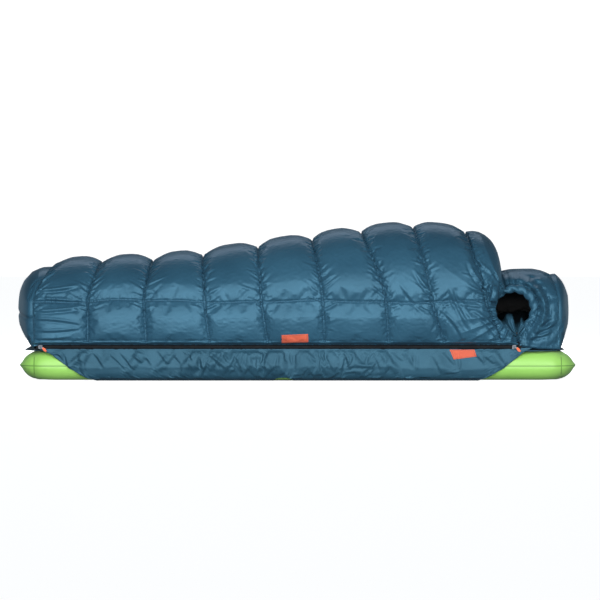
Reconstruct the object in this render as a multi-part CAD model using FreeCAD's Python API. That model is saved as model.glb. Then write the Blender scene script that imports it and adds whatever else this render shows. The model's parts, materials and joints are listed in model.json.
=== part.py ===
"""Down sleeping bag with a built-in pad sleeve and an inflatable pad in it, closed and laid flat for use.

Frame, in millimetres: the origin is at the bottom centre of the whole object, +X runs from the foot to the
hood, -Y is the side with the zipper, and +Z is up.
"""
import FreeCAD, Part
import math
import os

from FreeCAD import Vector

# ---------------------------------------------------------------- inflatable pad and its sleeve
PAD_LENGTH = 1830.0
PAD_WIDTH = 508.0
PAD_HEIGHT = 96.0
PAD_CORNER = 90.0            # corner radius seen from above
PAD_SKIN = 1.0
PAD_BOTTOM = 1.6             # the pad lies on the sleeve cloth
PAD_MID = PAD_BOTTOM + PAD_HEIGHT / 2
SLEEVE_CLOTH = 1.1
SLEEVE_GAP = 0.5             # between the pad and the sleeve
SEAM_HALF_WIDTH = 250.0      # the zipper and the opposite seam run at this distance from the middle

# ---------------------------------------------------------------- insulated top of the bag
SHELL_CLOTH = 1.0
DOWN_DEPTH = 32.0            # thickness of the down layer at a seam
CHAMBER_CROWN = 20.0         # how far a chamber puffs out beyond the seams beside it, at the top
SIDE_PUFF = 0.7              # the share of that at the sides
BAFFLE_CLOTH = 0.8
TOP_BASE = 128.0             # lowest edge of the insulated top
BACK_PANEL_BOTTOM = 98.4
BACK_PANEL_CLOTH = 2.0
LONG_SEAM_HEIGHT = 260.0     # the seam that runs along each side, from foot to shoulder

# Cross seams from foot to shoulder: x at the top, x at the base, height of the top, widest half width
CROSS_SEAMS = [
    (-823, -869, 378, 254), (-656, -698, 390, 257), (-485, -498, 393, 261),
    (-317, -291, 408, 266), (-133, -97, 438, 272), (48, 90, 462, 278),
    (212, 310, 483, 282), (386, 495, 504, 284), (560, 640, 482, 272),
]
# The shoulder rolls down from the last cross seam to the neck, in the same four values
NECK_ROLL = [(616, 655, 460, 262), (655, 668, 414, 240)]
# The foot end closes in from the first cross seam, with the height of the bottom edge added
FOOT_END = [(-866, -898, 350, 236, 112), (-902, -910, 298, 190, 140), (-915, -915, 240, 110, 180)]
# The hood, from the neck on, straight across: x, height of the top, widest half width
HOOD = [(672, 358, 208), (705, 362, 204), (790, 362, 198), (835, 352, 182)]
HOOD_END = [(872, 872, 312, 140, 130), (889, 889, 245, 75, 170)]

FACE_X = 715.0               # centre of the face opening
FACE_HEIGHT = 233.0
RIM_RADIUS = 62.0            # of the padded rim round the face
RIM_TUBE = 9.6
CORD_RADIUS = 1.5
CORD_CHANNEL = 2.0

# ---------------------------------------------------------------- zipper
ZIP_HEIGHT = 112.0
ZIP_START = -855.0
ZIP_END = 730.0
TAPE_CLOTH = 1.0
COIL_HALF_HEIGHT = 3.0
COIL_DEPTH = 2.5
SLIDER_LENGTH = 14.0
SLIDER_HALF_HEIGHT = 7.0
RUN_GAP = 0.35               # round anything that slides along the zipper
PULL_PIN = 0.8
PIN_CLEARANCE = 0.06
HEAD_SLIDER_X = 712.0
FOOT_SLIDER_X = -846.0

# ---------------------------------------------------------------- valve on the far side of the pad
VALVE_X = 830.0
VALVE_FLANGE = 14.0
VALVE_THROAT = 6.5
VALVE_TUBE = 9.0

FAR = 3000.0                 # longer than anything here, for cutting tools


def save(name, shape):
    """Write one sub-part, after checking that every solid in it is sound."""
    if not shape.isValid() or not shape.Solids:
        raise ValueError(name + " is not a sound solid")
    solids = shape.Solids
    result = solids[0] if len(solids) == 1 else Part.makeCompound(solids)
    result.exportStep("parts/" + name + ".step")
    print(f"{name:22s} {len(solids):3d} solids {result.Volume / 1000:10.1f} cm3")


def box(low, high):
    size = [high[i] - low[i] for i in range(3)]
    return Part.makeBox(size[0], size[1], size[2], Vector(*low))


def cylinder(radius, start, end):
    along = Vector(*end) - Vector(*start)
    return Part.makeCylinder(radius, along.Length, Vector(*start), along)


# ---------------------------------------------------------------- cross sections of the insulated top
def outline(x_top, x_base, top, half_width, inset, base=TOP_BASE, half_base=SEAM_HALF_WIDTH):
    """Points over the bag from the near edge to the far edge, in a plane that leans in X only."""
    widest = base + 0.36 * (top - base)
    wide = half_width - inset
    edge = min(half_base, half_width) - inset
    crown = top - inset
    near = []
    for rise in (0.0, 0.5, 1.0):
        near.append((edge + (wide - edge) * math.sin(rise * math.pi / 2), base + (widest - base) * rise))
    for turn in (28, 52, 72):
        angle = math.radians(turn)
        near.append((wide * math.cos(angle) ** 0.85, widest + (crown - widest) * math.sin(angle) ** 0.85))
    side = [(-y, z) for y, z in near]
    points = side + [(0.0, crown)] + [(-y, z) for y, z in reversed(side)]
    lean = (x_top - x_base) / (top - base)
    return [Vector(x_base + lean * (z - base), y, z) for y, z in points]


def spacing(points):
    """How far along the outline each point lies, from 0 to 1."""
    lengths = [0.0]
    for a, b in zip(points, points[1:]):
        lengths.append(lengths[-1] + (b - a).Length)
    return [length / lengths[-1] for length in lengths]


SPACING = spacing(outline(0, 0, 450, 270, 16))


def smooth_edge(points):
    """Smooth curve through the points, with the same spacing in every section so that lofts run straight."""
    curve = Part.BSplineCurve()
    curve.interpolate(Points=points, Parameters=SPACING)
    return curve.toShape()


def band_wire(outer, inner):
    """Closed wire between an outer and an inner outline of the same plane."""
    back = list(reversed(inner))
    return Part.Wire([smooth_edge(outer), Part.makeLine(outer[-1], back[0]),
                      smooth_edge(back), Part.makeLine(back[-1], outer[0])])


def cap_wire(points):
    """Closed wire of one outline and the straight edge under it."""
    return Part.Wire([smooth_edge(points), Part.makeLine(points[-1], points[0])])


def loft(wires):
    return Part.makeLoft(wires, True, True)


def between(first, last, t, crown=0.0):
    """Section values a fraction t of the way between two stations, puffed out by up to crown, and the puff."""
    puff = crown * (4 * t * (1 - t)) ** 0.6
    x_top, x_base, top, half_width = [p + (q - p) * t for p, q in zip(first, last)]
    return (x_top, x_base, top + puff, half_width + SIDE_PUFF * puff), puff


def moved(station, dx):
    return (station[0] + dx, station[1] + dx) + tuple(station[2:])


CHAMBER_STEPS = (0.0, 0.18, 0.5, 0.82, 1.0)


def chamber_sections(first, last):
    """Sections of one chamber from seam to seam, each with how far it puffs."""
    return [between(first, last, t, CHAMBER_CROWN) for t in CHAMBER_STEPS]


def arch(sections, outer_inset, inner_inset):
    """Arch between two insets of the sections. At the lining's depth the inner side ignores the puff."""
    wires = []
    for values, puff in sections:
        outside = outline(*values, outer_inset)
        smooth = (values[0], values[1], values[2] - puff, values[3] - SIDE_PUFF * puff)
        is_lining = inner_inset == DOWN_DEPTH
        inside = outline(*(smooth if is_lining else values), inner_inset)
        wires.append(band_wire(outside, inside))
    return loft(wires)


HOOD_STATIONS = [(x, x, top, half_width) for x, top, half_width in HOOD]
NECK_STATIONS = [CROSS_SEAMS[-1]] + NECK_ROLL + HOOD_STATIONS[:1]
NECK_STEPS = 3


def flat_sections(stations):
    return [(station, 0.0) for station in stations]


def torso_sections():
    """Every section of the torso, from the foot seam to the shoulder seam."""
    sections = []
    for first, last in zip(CROSS_SEAMS, CROSS_SEAMS[1:]):
        sections += chamber_sections(first, last)[:-1]
    return sections + flat_sections(CROSS_SEAMS[-1:])


def stepped(stations):
    """Sections through the stations, in several lofts each because the neck turns sharply."""
    sections = []
    for first, last in zip(stations, stations[1:]):
        sections += [between(first, last, step / NECK_STEPS) for step in range(NECK_STEPS)]
    return sections + flat_sections(stations[-1:])


def hood_sections():
    """Every section from the shoulder seam over the neck to the end of the hood."""
    return stepped(NECK_STATIONS + HOOD_STATIONS[1:])


def seam_wall(seam):
    """Leaning plate that ends at a cross seam, for cutting the baffle wall out of the chamber before it."""
    x_top, x_base, top, _ = seam
    lean = (x_top - x_base) / (top - TOP_BASE)
    low, high = TOP_BASE - 50, top + 50
    x_low, x_high = [x_base + lean * (z - TOP_BASE) for z in (low, high)]
    corners = [Vector(x_low, -FAR, low), Vector(x_high, -FAR, high),
               Vector(x_high - BAFFLE_CLOTH, -FAR, high), Vector(x_low - BAFFLE_CLOTH, -FAR, low)]
    return Part.Face(Part.makePolygon(corners + corners[:1])).extrude(Vector(0, 2 * FAR, 0))


RIM_SEAT = RIM_RADIUS + 10.0


def face_cutter():
    """The face opening through the near wall, with the slit under it where the drawcord hangs."""
    hole = cylinder(RIM_SEAT, (FACE_X, -FAR, FACE_HEIGHT), (FACE_X, -80, FACE_HEIGHT))
    slit = box((FACE_X - 14, -FAR, TOP_BASE - 5), (FACE_X + 14, -80, FACE_HEIGHT))
    return hole.fuse(slit)


# ---------------------------------------------------------------- insulated top
def make_shell_panels():
    skin = arch(torso_sections(), 0.0, SHELL_CLOTH)
    upper = box((-FAR, -FAR, LONG_SEAM_HEIGHT), (FAR, FAR, FAR))
    near = box((-FAR, -FAR, -FAR), (FAR, 0, LONG_SEAM_HEIGHT))
    far = box((-FAR, 0, -FAR), (FAR, FAR, LONG_SEAM_HEIGHT))
    save("shell_top_panel", skin.common(upper))
    save("shell_near_panel", skin.common(near))
    save("shell_far_panel", skin.common(far))


def make_chambers():
    """Down in each chamber, between baffle walls at the cross seams and strips of cloth at the long seams."""
    strip = box((-FAR, -FAR, LONG_SEAM_HEIGHT), (FAR, FAR, LONG_SEAM_HEIGHT + BAFFLE_CLOTH))
    walls = []
    strips = []
    for number, (first, last) in enumerate(zip(CROSS_SEAMS, CROSS_SEAMS[1:]), 1):
        whole = arch(chamber_sections(first, last), SHELL_CLOTH, DOWN_DEPTH)
        wall = seam_wall(last)
        down = whole.cut(wall)
        walls += whole.common(wall).Solids
        strips += down.common(strip).Solids
        save(f"down_chamber_{number}", down.cut(strip))
    save("cross_baffles", Part.makeCompound(walls))
    save("long_baffles", Part.makeCompound(strips))


def lining(sections):
    """Lining cloth just inside the down, without the puff of the chambers."""
    wires = []
    for (x_top, x_base, top, half_width), puff in sections:
        smooth = (x_top, x_base, top - puff, half_width - SIDE_PUFF * puff)
        wires.append(band_wire(outline(*smooth, DOWN_DEPTH), outline(*smooth, DOWN_DEPTH + SHELL_CLOTH)))
    return loft(wires)


def end_cap(seam, stations, inset):
    """Closed end beyond a seam, drawn in by inset."""
    wires = [cap_wire(outline(*seam, inset))]
    for x_top, x_base, top, half_width, base in stations:
        pull = -inset if x_top > 0 else inset
        wires.append(cap_wire(outline(x_top + pull, x_base + pull, top, half_width, inset,
                                      base + inset, half_width)))
    return loft(wires)


def make_foot_end():
    seam = CROSS_SEAMS[0]
    outer = end_cap(seam, FOOT_END, 0.0)
    inner = end_cap(seam, FOOT_END, SHELL_CLOTH)
    save("foot_end_shell", outer.cut(inner))
    save("foot_end_down", inner)
    plate = [cap_wire(outline(*moved(seam, dx), DOWN_DEPTH + SHELL_CLOTH)) for dx in (0.0, SHELL_CLOTH)]
    save("foot_end_lining", loft(plate))


def make_draft_collar():
    """Padded ring inside the neck that closes against the sleeper's shoulders."""
    depth = DOWN_DEPTH + SHELL_CLOTH + 0.3
    wires = []
    for t in (0.3, 1.0):
        values, _ = between(NECK_STATIONS[0], NECK_STATIONS[1], t)
        wires.append(band_wire(outline(*values, depth), outline(*values, depth + 24.0)))
    save("draft_collar", loft(wires))


# ---------------------------------------------------------------- hood
def make_hood():
    save("hood_shell", arch(hood_sections(), 0.0, SHELL_CLOTH).cut(face_cutter()))
    save("neck_down", arch(stepped(NECK_STATIONS), SHELL_CLOTH, DOWN_DEPTH).cut(face_cutter()))
    save("hood_down", arch(stepped(HOOD_STATIONS), SHELL_CLOTH, DOWN_DEPTH).cut(face_cutter()))
    outer = end_cap(HOOD_STATIONS[-1], HOOD_END, 0.0)
    inner = end_cap(HOOD_STATIONS[-1], HOOD_END, SHELL_CLOTH)
    save("hood_end_shell", outer.cut(inner))
    save("hood_end_down", inner)
    save("lining", lining(torso_sections()))
    save("hood_lining", lining(hood_sections()).cut(face_cutter()))


RIM_Y = -186.0
CORD_EXIT = FACE_HEIGHT - RIM_RADIUS
CORD_END = TOP_BASE - 12


def make_face_rim():
    """Padded rim round the face, with the channel that the drawcord runs in."""
    centre = Vector(FACE_X, RIM_Y, FACE_HEIGHT)
    rim = Part.makeTorus(RIM_RADIUS, RIM_TUBE, centre, Vector(0, 1, 0))
    channel = Part.makeTorus(RIM_RADIUS, CORD_CHANNEL, centre, Vector(0, 1, 0))
    exit_hole = cylinder(CORD_CHANNEL, (FACE_X, RIM_Y, CORD_EXIT - 2 * RIM_TUBE), (FACE_X, RIM_Y, CORD_EXIT))
    save("face_rim", rim.cut(channel).cut(exit_hole))
    ring = Part.makeTorus(RIM_RADIUS, CORD_RADIUS, centre, Vector(0, 1, 0))
    tail = cylinder(CORD_RADIUS, (FACE_X, RIM_Y, CORD_END), (FACE_X, RIM_Y, CORD_EXIT))
    knot = Part.makeSphere(3.2, Vector(FACE_X, RIM_Y, CORD_END))
    save("hood_drawcord", ring.fuse(tail).fuse(knot))


LOCK_HEIGHT = 154.0
LOCK_LENGTH = 18.0
LOCK_RADIUS = 6.0
PLUNGER_RADIUS = 4.0
PLUNGER_TRAVEL = 2.5


def make_cord_lock():
    """Barrel, spring and plunger; the drawcord runs down through a hole across all of them."""
    start = FACE_X - LOCK_LENGTH / 2
    end = FACE_X + LOCK_LENGTH / 2
    across = (RIM_Y, LOCK_HEIGHT)
    cord_hole = cylinder(CORD_RADIUS + 0.05, (FACE_X, RIM_Y, 0), (FACE_X, RIM_Y, LOCK_HEIGHT + 20))
    barrel = cylinder(LOCK_RADIUS, (start, *across), (end - 4, *across))
    bore = cylinder(PLUNGER_RADIUS + 0.05, (start + 1.5, *across), (end, *across))
    save("cord_lock_barrel", barrel.cut(bore).cut(cord_hole))
    plunger = cylinder(PLUNGER_RADIUS, (FACE_X - 3.5, *across), (end - 3.6 + PLUNGER_TRAVEL, *across))
    button = cylinder(LOCK_RADIUS - 0.5, (end - 3.6 + PLUNGER_TRAVEL, *across), (end + 1.5, *across))
    slot = box((FACE_X - CORD_RADIUS - 0.1, RIM_Y - CORD_RADIUS - 0.1, LOCK_HEIGHT - 10),
               (FACE_X + CORD_RADIUS + PLUNGER_TRAVEL + 0.4, RIM_Y + CORD_RADIUS + 0.1, LOCK_HEIGHT + 10))
    save("cord_lock_plunger", plunger.fuse(button).cut(slot))
    spring = cylinder(3.0, (start + 1.6, *across), (FACE_X - 3.6, *across))
    hollow = cylinder(2.2, (start, *across), (FACE_X, *across))
    save("cord_lock_spring", spring.cut(hollow))


# ---------------------------------------------------------------- floor of the bag and sleeve
def make_back_panel():
    """Floor of the bag and top of the sleeve, one sheet with rounded ends."""
    half = SEAM_HALF_WIDTH - 1.0
    sheet = box((-905, -half, BACK_PANEL_BOTTOM), (885, half, BACK_PANEL_BOTTOM + BACK_PANEL_CLOTH))
    corners = [e for e in sheet.Edges if abs(e.Vertexes[0].Z - e.Vertexes[1].Z) > 1]
    save("back_panel", sheet.makeFillet(120.0, corners))


def sleeve_wire(inset):
    """The sleeve's cross section, open at the top, as points and arcs at x = 0."""
    centre_y = PAD_WIDTH / 2 - PAD_HEIGHT / 2
    radius = PAD_HEIGHT / 2 + SLEEVE_GAP + SLEEVE_CLOTH - inset
    side = centre_y + radius
    edge = SEAM_HALF_WIDTH + 0.5 - inset
    lowest = PAD_MID - radius
    slant = radius * math.sqrt(0.5)
    top = 104.0

    def place(y, z):
        return Vector(0, y, z)
    parts = [Part.makeLine(place(-edge, top), place(-side, PAD_MID))]
    parts.append(Part.Arc(place(-side, PAD_MID), place(-centre_y - slant, PAD_MID - slant),
                          place(-centre_y, lowest)).toShape())
    parts.append(Part.makeLine(place(-centre_y, lowest), place(centre_y, lowest)))
    parts.append(Part.Arc(place(centre_y, lowest), place(centre_y + slant, PAD_MID - slant),
                          place(side, PAD_MID)).toShape())
    parts.append(Part.makeLine(place(side, PAD_MID), place(edge, top)))
    return parts, place(-edge, top), place(edge, top)


def make_sleeve():
    """Sleeve cloth round the pad, cut away at a slant at both ends so that the pad's corners show."""
    outer, outer_near, outer_far = sleeve_wire(0.0)
    inner, inner_near, inner_far = sleeve_wire(SLEEVE_CLOTH)
    edges = outer + [Part.makeLine(outer_far, inner_far)] + inner + [Part.makeLine(inner_near, outer_near)]
    section = Part.Wire(Part.__sortEdges__(edges))
    tube = Part.Face(section).extrude(Vector(1640, 0, 0))
    tube.translate(Vector(-870, 0, 0))
    foot = [(-1000, -10), (-660, -10), (-700, 12), (-760, 52), (-815, 90), (-855, 104), (-1000, 120)]
    head = [(1000, -10), (590, -10), (640, 20), (680, 46), (722, 82), (745, 100), (764, 105), (1000, 120)]
    for profile in (foot, head):
        points = [Vector(x, -400, z) for x, z in profile]
        wedge = Part.Face(Part.makePolygon(points + points[:1])).extrude(Vector(0, 800, 0))
        tube = tube.cut(wedge)
    save("pad_sleeve", tube)


def make_far_seam():
    """Bound seam on the side away from the zipper, joining the top to the floor of the bag."""
    y = SEAM_HALF_WIDTH
    save("far_edge_seam", box((ZIP_START, y - 1, 104.0), (ZIP_END, y + 0.5, TOP_BASE)))


def make_draft_tube():
    """Down-filled tube that lies behind the zipper."""
    y = -SEAM_HALF_WIDTH + 13.0
    save("draft_tube", cylinder(11.0, (ZIP_START + 10, y, ZIP_HEIGHT + 0.5), (655, y, ZIP_HEIGHT + 0.5)))


# ---------------------------------------------------------------- zipper
def make_zipper():
    front = -SEAM_HALF_WIDTH - TAPE_CLOTH / 2
    back = front + TAPE_CLOTH
    coil_top = ZIP_HEIGHT + COIL_HALF_HEIGHT
    coil_bottom = ZIP_HEIGHT - COIL_HALF_HEIGHT
    save("zip_tape_upper", box((ZIP_START, front, ZIP_HEIGHT + 1.5), (ZIP_END, back, TOP_BASE)))
    save("zip_tape_lower", box((ZIP_START, front, 104.0), (ZIP_END, back, ZIP_HEIGHT - 1.5)))
    coil = box((ZIP_START, front - COIL_DEPTH, coil_bottom), (ZIP_END, front, coil_top))
    long_edges = [e for e in coil.Edges if e.Length > 100 and e.Vertexes[0].Y < front - 1]
    save("zip_coil", coil.makeFillet(1.2, long_edges))
    low = (front - COIL_DEPTH - 0.5, coil_bottom - 2)
    high = (back, coil_top + 2)
    stops = [box((ZIP_START - 5, *low), (ZIP_START, *high)), box((ZIP_END, *low), (ZIP_END + 5, *high))]
    save("zip_stops", Part.makeCompound(stops))


def make_slider(end_name, x):
    """Slider over the coil, with a bail in front that carries the pull, and the pull with its grip."""
    front = -SEAM_HALF_WIDTH - TAPE_CLOTH / 2
    half = SLIDER_LENGTH / 2
    face = front - COIL_DEPTH - RUN_GAP - 1.6
    body = box((x - half, face, ZIP_HEIGHT - SLIDER_HALF_HEIGHT), (x + half, front - RUN_GAP,
                                                                 ZIP_HEIGHT + SLIDER_HALF_HEIGHT))
    body = body.makeFillet(1.2, [e for e in body.Edges if abs(e.Vertexes[0].Y - face) < 0.01
                                 and abs(e.Vertexes[1].Y - face) < 0.01])
    reach = COIL_HALF_HEIGHT + RUN_GAP
    channel = box((x - half - 1, front - COIL_DEPTH - RUN_GAP, ZIP_HEIGHT - reach),
                  (x + half + 1, front + 1, ZIP_HEIGHT + reach))
    pin_y = face - 1.9
    lugs = [box((x - 1.6, pin_y - 1.4, ZIP_HEIGHT + low), (x + 1.6, face + 0.4, ZIP_HEIGHT + low + 1.4))
            for low in (-4.6, 3.2)]
    pin = cylinder(PULL_PIN, (x, pin_y, ZIP_HEIGHT - 4), (x, pin_y, ZIP_HEIGHT + 4))
    save("zip_slider_" + end_name, body.cut(channel).fuse(lugs).fuse(pin))

    eye = cylinder(1.6, (x, pin_y, ZIP_HEIGHT - 2.9), (x, pin_y, ZIP_HEIGHT + 2.9))
    arm_points = [(0, -2.6), (0, 2.6), (5, 2.0), (13, -3.0), (11, -7.4), (4, -2.6)]
    arm = Part.Face(Part.makePolygon([Vector(x + dx, pin_y - 0.6, ZIP_HEIGHT + dz)
                                      for dx, dz in arm_points + arm_points[:1]]))
    plate = arm.extrude(Vector(0, 1.2, 0))
    eye_hole = cylinder(PULL_PIN + PIN_CLEARANCE, (x, pin_y, ZIP_HEIGHT - 5), (x, pin_y, ZIP_HEIGHT + 5))
    pull = eye.fuse(plate).cut(eye_hole)
    grip_points = [(9, -0.2), (16, -4.4), (21, -13), (17.5, -15.5), (11.5, -13), (6.5, -4.4)]
    grip_face = Part.Face(Part.makePolygon([Vector(x + dx, pin_y - 1.7, ZIP_HEIGHT + dz)
                                            for dx, dz in grip_points + grip_points[:1]]))
    grip = grip_face.extrude(Vector(0, 3.4, 0))
    save("zip_pull_" + end_name, pull)
    save("zip_grip_" + end_name, grip.cut(pull))


# ---------------------------------------------------------------- labels
def curved_label(name, sections, low, high):
    """Thin label lying on the shell's outer face inside a box."""
    skin = arch(sections, -1.1, -0.3)
    save(name, skin.common(box(low, high)))


def make_labels():
    chamber = chamber_sections(CROSS_SEAMS[4], CROSS_SEAMS[5])
    curved_label("side_patch", chamber, (-54, -FAR, 130), (34, 0, 158))
    curved_label("neck_tab", flat_sections(NECK_STATIONS), (630, -FAR, 262), (660, 0, 316))
    profile = [(-251.0, 103), (-251.8, 103), (-255.6, 69), (-254.8, 69)]
    corners = [Vector(500, y, z) for y, z in profile]
    flag = Part.Face(Part.makePolygon(corners + corners[:1])).extrude(Vector(86, 0, 0))
    save("sleeve_flag", flag)


# ---------------------------------------------------------------- inflatable pad
def pad_solid(inset):
    """The pad's rounded outer form, drawn in by inset."""
    half_x = PAD_LENGTH / 2 - inset
    half_y = PAD_WIDTH / 2 - inset
    solid = box((-half_x, -half_y, PAD_BOTTOM + inset), (half_x, half_y, PAD_BOTTOM + PAD_HEIGHT - inset))
    solid = solid.makeFillet(PAD_CORNER - inset,
                             [e for e in solid.Edges if abs(e.Vertexes[0].Z - e.Vertexes[1].Z) > 1])
    rounding = PAD_HEIGHT / 2 - inset - 0.4
    return solid.makeFillet(rounding, [e for e in solid.Edges if abs(e.Vertexes[0].Z - e.Vertexes[-1].Z) < 1])


STRIP_COUNT = 7
STRIP_PITCH = 56.0
STRIP_CLOTH = 0.8


def make_pad():
    skin = pad_solid(0.0).cut(pad_solid(PAD_SKIN))
    valve_hole = cylinder(VALVE_TUBE, (VALVE_X, 200, PAD_MID), (VALVE_X, 300, PAD_MID))
    skin = skin.cut(valve_hole)
    save("pad_top_sheet", skin.common(box((-FAR, -FAR, PAD_MID), (FAR, FAR, FAR))))
    save("pad_bottom_sheet", skin.common(box((-FAR, -FAR, -FAR), (FAR, FAR, PAD_MID))))
    strips = []
    low = PAD_BOTTOM + PAD_SKIN
    high = PAD_BOTTOM + PAD_HEIGHT - PAD_SKIN
    half_length = PAD_LENGTH / 2 - 80
    insulation_low = PAD_MID + 12
    insulation = box((-half_length, -190, insulation_low), (half_length, 190, insulation_low + 3))
    for index in range(STRIP_COUNT):
        y = (index - (STRIP_COUNT - 1) / 2) * STRIP_PITCH
        strip = box((-half_length, y - STRIP_CLOTH / 2, low), (half_length, y + STRIP_CLOTH / 2, high))
        strips.append(strip)
    save("pad_inner_strips", Part.makeCompound(strips))
    save("pad_insulation", insulation.cut(Part.makeCompound(strips)))


def make_valve():
    """Flat valve on the pad's far side, with a hinged cap."""
    wall = PAD_WIDTH / 2
    outer = wall + 0.6

    def ring(radius, start, end):
        return cylinder(radius, (VALVE_X, start, PAD_MID), (VALVE_X, end, PAD_MID))
    tube = ring(VALVE_TUBE, wall - 18, outer)
    flange = ring(VALVE_FLANGE, outer, outer + 1.8)
    pin_x = VALVE_X + VALVE_FLANGE + 1.6
    pin_y = outer + 3.6
    lugs = [box((VALVE_X + 11, outer, PAD_MID + low), (pin_x + 1.8, pin_y + 1.6, PAD_MID + low + 2))
            for low in (-5.5, 3.5)]
    pin = cylinder(1.0, (pin_x, pin_y, PAD_MID - 4), (pin_x, pin_y, PAD_MID + 4))
    throat = ring(VALVE_THROAT, wall - 30, outer + 5)
    save("pad_valve_body", tube.fuse(flange).cut(throat).fuse(lugs).fuse(pin))

    lid = ring(VALVE_FLANGE - 4, outer + 2.1, outer + 5.1)
    plug = ring(VALVE_THROAT - 2, outer - 1, outer + 2.1)
    arm = box((VALVE_X + 7, outer + 2.6, PAD_MID - 3.1), (pin_x, outer + 4.6, PAD_MID + 3.1))
    knuckle = cylinder(1.9, (pin_x, pin_y, PAD_MID - 3.1), (pin_x, pin_y, PAD_MID + 3.1))
    bore = cylinder(1.0 + PIN_CLEARANCE, (pin_x, pin_y, PAD_MID - 9), (pin_x, pin_y, PAD_MID + 9))
    save("pad_valve_cap", lid.fuse([plug, arm, knuckle]).cut(bore))


def main():
    os.makedirs("parts", exist_ok=True)
    make_shell_panels()
    make_chambers()
    make_foot_end()
    make_draft_collar()
    make_hood()
    make_face_rim()
    make_cord_lock()
    make_back_panel()
    make_sleeve()
    make_far_seam()
    make_draft_tube()
    make_zipper()
    make_slider("head", HEAD_SLIDER_X)
    make_slider("foot", FOOT_SLIDER_X)
    make_labels()
    make_pad()
    make_valve()


main()
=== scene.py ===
"""Visual model of the sleeping bag, its pad sleeve and its inflated pad, dressed over the CAD frame.

Metres throughout. +X runs from the foot to the hood, -Y is the side with the zipper, +Z is up.
The insulated top is built as grids whose rows lie on the cross seams. Cloth simulation puffs each chamber
out between its sewn seams, and the gathers along the seams are added afterwards.
"""

import json
from math import cos, pi, radians, sin, tau

import bmesh
import bpy
import numpy as np
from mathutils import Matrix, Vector
from mathutils.bvhtree import BVHTree


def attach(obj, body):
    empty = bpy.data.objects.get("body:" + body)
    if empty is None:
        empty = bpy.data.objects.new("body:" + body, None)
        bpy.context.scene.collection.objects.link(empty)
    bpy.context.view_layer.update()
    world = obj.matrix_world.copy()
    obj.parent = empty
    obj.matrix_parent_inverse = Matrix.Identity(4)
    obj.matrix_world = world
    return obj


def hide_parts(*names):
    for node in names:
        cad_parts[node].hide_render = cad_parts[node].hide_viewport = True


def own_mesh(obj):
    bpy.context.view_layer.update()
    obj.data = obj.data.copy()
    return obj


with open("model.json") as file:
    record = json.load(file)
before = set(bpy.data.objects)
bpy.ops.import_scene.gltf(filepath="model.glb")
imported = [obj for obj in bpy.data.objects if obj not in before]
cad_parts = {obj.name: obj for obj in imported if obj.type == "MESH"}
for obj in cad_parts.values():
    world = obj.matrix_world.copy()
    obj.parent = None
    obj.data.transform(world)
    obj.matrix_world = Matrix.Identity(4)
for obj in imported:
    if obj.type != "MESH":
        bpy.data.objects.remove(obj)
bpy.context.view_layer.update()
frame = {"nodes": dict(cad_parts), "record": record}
scene = bpy.context.scene

# ---- insulated top
HALF_WIDTH = 0.250           # the zipper and the far seam run at this distance from the middle
LONG_SEAM = 0.262            # height of the seam that runs along each side
# Cross seams and shaping lines: x at the top, at the long seam and at the base; height of the top;
# widest half width; height of the base
TORSO_SEAMS = [
    (-0.822, -0.872, -0.868, 0.372, 0.252, 0.115), (-0.656, -0.690, -0.690, 0.384, 0.255, 0.115),
    (-0.485, -0.506, -0.497, 0.388, 0.258, 0.115), (-0.317, -0.306, -0.288, 0.405, 0.262, 0.115),
    (-0.133, -0.120, -0.097, 0.434, 0.268, 0.115), (0.048, 0.082, 0.090, 0.460, 0.274, 0.115),
    (0.212, 0.290, 0.300, 0.484, 0.278, 0.115), (0.386, 0.440, 0.486, 0.501, 0.280, 0.115),
    (0.560, 0.616, 0.676, 0.484, 0.268, 0.115),
]
SHOULDER_LINES = [
    (0.602, 0.640, 0.692, 0.466, 0.258, 0.115), (0.636, 0.655, 0.706, 0.436, 0.245, 0.115),
    (0.655, 0.664, 0.718, 0.398, 0.230, 0.115), (0.664, 0.668, 0.728, 0.348, 0.214, 0.114),
]
HOOD_LINES = [
    SHOULDER_LINES[-1],
    (0.700, 0.706, 0.748, 0.350, 0.215, 0.110), (0.760, 0.768, 0.788, 0.352, 0.211, 0.105),
    (0.812, 0.822, 0.834, 0.350, 0.205, 0.103), (0.844, 0.862, 0.866, 0.346, 0.196, 0.103),
]
CHAMBER_ROWS = 28            # grid rows in one chamber
SHOULDER_ROWS = 8            # and between two shaping lines of the shoulder
HOOD_ROWS = 9
ARCH_COLUMNS = 168           # grid columns from the near base over the top to the far base
LONG_SEAM_PUFF = 0.45        # share of a chamber's puff that is left at the long seam
START_PUFF = 0.019           # how far the cloth stands out before the simulation
FOOT_BULGE = 0.056
HOOD_BULGE = 0.034
SEAM_COLUMN = 27             # column of the near long seam
EVEN = np.linspace(0, 1, 1601)

# ---- face opening
FACE = (0.715, 0.236)        # x and z of its centre
FACE_RADIUS = 0.063
FACE_TIP = 0.094             # distance of the gathered tip from the centre
TIP_ANGLE = radians(-84)
TIP_SPREAD = radians(20)
RIM_DEPTH = -0.196           # y of the padded rim

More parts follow.
